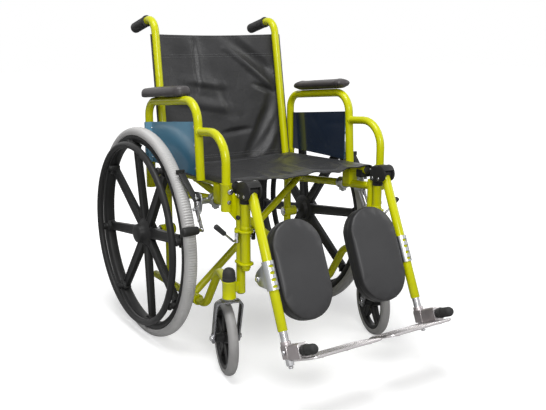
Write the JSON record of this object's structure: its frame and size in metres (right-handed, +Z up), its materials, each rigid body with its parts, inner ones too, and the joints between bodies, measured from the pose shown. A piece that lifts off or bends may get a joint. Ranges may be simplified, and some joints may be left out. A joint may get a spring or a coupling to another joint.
{
  "type": "folding wheelchair",
  "caption": "Folding self-propelled wheelchair with tubular frame, sling upholstery, lift-out desk arms, spoked wheels and swing-away elevating legrests.",
  "frame": {"origin": "on the floor, under the middle of the chair's overall box", "axes": "+Z up, -Y the way the chair faces, +X to the chair's left"},
  "size_m": [0.67, 1.0397, 0.9198],
  "materials": {
    "lime_paint": "glossy powder coat",
    "black_vinyl": "matt coated upholstery cloth",
    "black_plastic": "moulded satin",
    "black_rubber": "moulded matt",
    "grey_tyre": "matt non-marking tread",
    "blue_panel": "glossy sheet",
    "chrome": "bright plating",
    "cast_aluminium": "satin casting"
  },
  "bodies": {
    "right_side": {"right_side_frame": "lime_paint", "right_push_grip": "black_rubber", "right_rear_axle": "chrome", "right_caster_cap": "black_plastic", "right_brake_base": "chrome", "seat_sling": "black_vinyl", "back_sling": "black_vinyl"},
    "left_side": {"left_side_frame": "lime_paint", "left_push_grip": "black_rubber", "left_rear_axle": "chrome", "left_caster_cap": "black_plastic", "left_brake_base": "chrome"},
    "brace_a": {"cross_brace_a": "lime_paint", "brace_bolt": "chrome"},
    "brace_b": {"cross_brace_b": "lime_paint"},
    "left_wheel": {"left_rear_wheel": "black_plastic", "left_rear_tyre": "grey_tyre", "left_handrim": "black_plastic"},
    "left_caster_swivel": {"left_caster_fork": "chrome", "left_caster_axle": "chrome"},
    "left_caster": {"left_caster_wheel": "black_plastic", "left_caster_tyre": "grey_tyre"},
    "left_arm": {"left_arm_frame": "lime_paint", "left_arm_pad": "black_vinyl", "left_side_panel": "blue_panel"},
    "left_brake": {"left_brake_lever": "black_plastic"},
    "left_shoe": {"left_brake_shoe": "black_plastic"},
    "left_legrest": {"left_legrest_hanger": "lime_paint", "left_pivot_cover": "black_plastic"},
    "left_leg": {"left_leg_tube": "lime_paint", "left_calf_bracket": "cast_aluminium"},
    "left_foot": {"left_foot_tube": "chrome", "left_footplate_bumper": "black_rubber"},
    "left_plate": {"left_footplate": "cast_aluminium"},
    "left_calf": {"left_calf_arm": "chrome", "left_calf_pad": "black_vinyl"},
    "left_catch": {"left_release_lever": "chrome"},
    "right_wheel": {"right_rear_wheel": "black_plastic", "right_rear_tyre": "grey_tyre", "right_handrim": "black_plastic"},
    "right_caster_swivel": {"right_caster_fork": "chrome", "right_caster_axle": "chrome"},
    "right_caster": {"right_caster_wheel": "black_plastic", "right_caster_tyre": "grey_tyre"},
    "right_arm": {"right_arm_frame": "lime_paint", "right_arm_pad": "black_vinyl", "right_side_panel": "blue_panel"},
    "right_brake": {"right_brake_lever": "black_plastic"},
    "right_shoe": {"right_brake_shoe": "black_plastic"},
    "right_legrest": {"right_legrest_hanger": "lime_paint", "right_pivot_cover": "black_plastic"},
    "right_leg": {"right_leg_tube": "lime_paint", "right_calf_bracket": "cast_aluminium"},
    "right_foot": {"right_foot_tube": "chrome", "right_footplate_bumper": "black_rubber"},
    "right_plate": {"right_footplate": "cast_aluminium"},
    "right_calf": {"right_calf_arm": "chrome", "right_calf_pad": "black_vinyl"},
    "right_catch": {"right_release_lever": "chrome"}
  },
  "joints": [
    {"name": "fold", "type": "hinge", "parent": "right_side", "child": "brace_a", "pos_m": [-0.212, 0.06495, 0.137], "axis": [0, -1, 0], "range_deg": [0, 42], "deforming": ["seat_sling", "back_sling"]},
    {"name": "brace_cross", "type": "hinge", "parent": "brace_a", "child": "brace_b", "pos_m": [0, 0.06495, 0.31339], "axis": [0, -1, 0], "range_deg": [-84, 0]},
    {"name": "left_side_fold", "type": "hinge", "parent": "brace_b", "child": "left_side", "pos_m": [0.212, 0.06495, 0.137], "axis": [0, -1, 0], "range_deg": [0, 42]},
    {"name": "left_wheel_spin", "type": "hinge", "parent": "left_side", "child": "left_wheel", "pos_m": [0.29, 0.21495, 0.305], "axis": [1, 0, 0], "continuous": true},
    {"name": "left_caster_turn", "type": "hinge", "parent": "left_side", "child": "left_caster_swivel", "pos_m": [0.25, -0.20205, 0.214], "axis": [0, 0, 1], "continuous": true},
    {"name": "left_caster_spin", "type": "hinge", "parent": "left_caster_swivel", "child": "left_caster", "pos_m": [0.26271, -0.1594, 0.1], "axis": [0.9583, -0.2857, 0], "continuous": true},
    {"name": "left_arm_lift", "type": "slide", "parent": "left_side", "child": "left_arm", "axis": [0, 0, 1], "range_m": [0, 0.11]},
    {"name": "left_brake_throw", "type": "hinge", "parent": "left_side", "child": "left_brake", "pos_m": [0.266, -0.07305, 0.428], "axis": [-1, 0, 0], "range_deg": [0, 30]},
    {"name": "left_shoe_press", "type": "hinge", "parent": "left_side", "child": "left_shoe", "pos_m": [0.266, -0.08505, 0.458], "axis": [-1, 0, 0], "range_deg": [0, 4.5]},
    {"name": "left_legrest_swing", "type": "hinge", "parent": "left_side", "child": "left_legrest", "pos_m": [0.212, -0.22105, 0.394], "axis": [0, 0, 1], "range_deg": [0, 80.01]},
    {"name": "left_leg_raise", "type": "hinge", "parent": "left_legrest", "child": "left_leg", "pos_m": [0.212, -0.24905, 0.499], "axis": [-1, 0, 0], "range_deg": [0, 64]},
    {"name": "left_foot_slide", "type": "slide", "parent": "left_leg", "child": "left_foot", "axis": [0, -0.4035, -0.915], "range_m": [-0.02, 0.07]},
    {"name": "left_plate_flip", "type": "hinge", "parent": "left_foot", "child": "left_plate", "pos_m": [0.212, -0.40603, 0.14308], "axis": [0, 0.915, -0.4035], "range_deg": [0, 88]},
    {"name": "left_calf_tilt", "type": "hinge", "parent": "left_leg", "child": "left_calf", "pos_m": [0.212, -0.27768, 0.28539], "axis": [1, 0, 0], "range_deg": [-12, 20]},
    {"name": "left_catch_turn", "type": "hinge", "parent": "left_side", "child": "left_catch", "pos_m": [0.23, -0.20905, 0.371], "axis": [0, 0, 1], "range_deg": [0, 20], "stiffness_Nm_per_rad": 0.2},
    {"name": "right_wheel_spin", "type": "hinge", "parent": "right_side", "child": "right_wheel", "pos_m": [-0.29, 0.21495, 0.305], "axis": [1, 0, 0], "continuous": true},
    {"name": "right_caster_turn", "type": "hinge", "parent": "right_side", "child": "right_caster_swivel", "pos_m": [-0.25, -0.20205, 0.214], "axis": [0, 0, 1], "continuous": true},
    {"name": "right_caster_spin", "type": "hinge", "parent": "right_caster_swivel", "child": "right_caster", "pos_m": [-0.23729, -0.1594, 0.1], "axis": [0.9583, -0.2857, 0], "continuous": true},
    {"name": "right_arm_lift", "type": "slide", "parent": "right_side", "child": "right_arm", "axis": [0, 0, 1], "range_m": [0, 0.11]},
    {"name": "right_brake_throw", "type": "hinge", "parent": "right_side", "child": "right_brake", "pos_m": [-0.266, -0.07305, 0.428], "axis": [-1, 0, 0], "range_deg": [0, 30]},
    {"name": "right_shoe_press", "type": "hinge", "parent": "right_side", "child": "right_shoe", "pos_m": [-0.266, -0.08505, 0.458], "axis": [-1, 0, 0], "range_deg": [0, 4.5]},
    {"name": "right_legrest_swing", "type": "hinge", "parent": "right_side", "child": "right_legrest", "pos_m": [-0.212, -0.22105, 0.394], "axis": [0, 0, -1], "range_deg": [0, 80.01]},
    {"name": "right_leg_raise", "type": "hinge", "parent": "right_legrest", "child": "right_leg", "pos_m": [-0.212, -0.24905, 0.499], "axis": [-1, 0, 0], "range_deg": [0, 64]},
    {"name": "right_foot_slide", "type": "slide", "parent": "right_leg", "child": "right_foot", "axis": [0, -0.4035, -0.915], "range_m": [-0.02, 0.07]},
    {"name": "right_plate_flip", "type": "hinge", "parent": "right_foot", "child": "right_plate", "pos_m": [-0.212, -0.40603, 0.14308], "axis": [0, -0.915, 0.4035], "range_deg": [0, 88]},
    {"name": "right_calf_tilt", "type": "hinge", "parent": "right_leg", "child": "right_calf", "pos_m": [-0.212, -0.27768, 0.28539], "axis": [1, 0, 0], "range_deg": [-12, 20]},
    {"name": "right_catch_turn", "type": "hinge", "parent": "right_side", "child": "right_catch", "pos_m": [-0.23, -0.20905, 0.371], "axis": [0, 0, -1], "range_deg": [0, 20], "stiffness_Nm_per_rad": 0.2}
  ],
  "couplings": [
    {"joint": "brace_cross", "follows": "fold", "ratio": -2},
    {"joint": "left_side_fold", "follows": "fold", "ratio": 1},
    {"joint": "left_shoe_press", "follows": "left_brake_throw", "ratio": 0.15},
    {"joint": "left_legrest_swing", "follows": "fold", "ratio": 1.9048},
    {"joint": "right_shoe_press", "follows": "right_brake_throw", "ratio": 0.15},
    {"joint": "right_legrest_swing", "follows": "fold", "ratio": 1.9048}
  ]
}
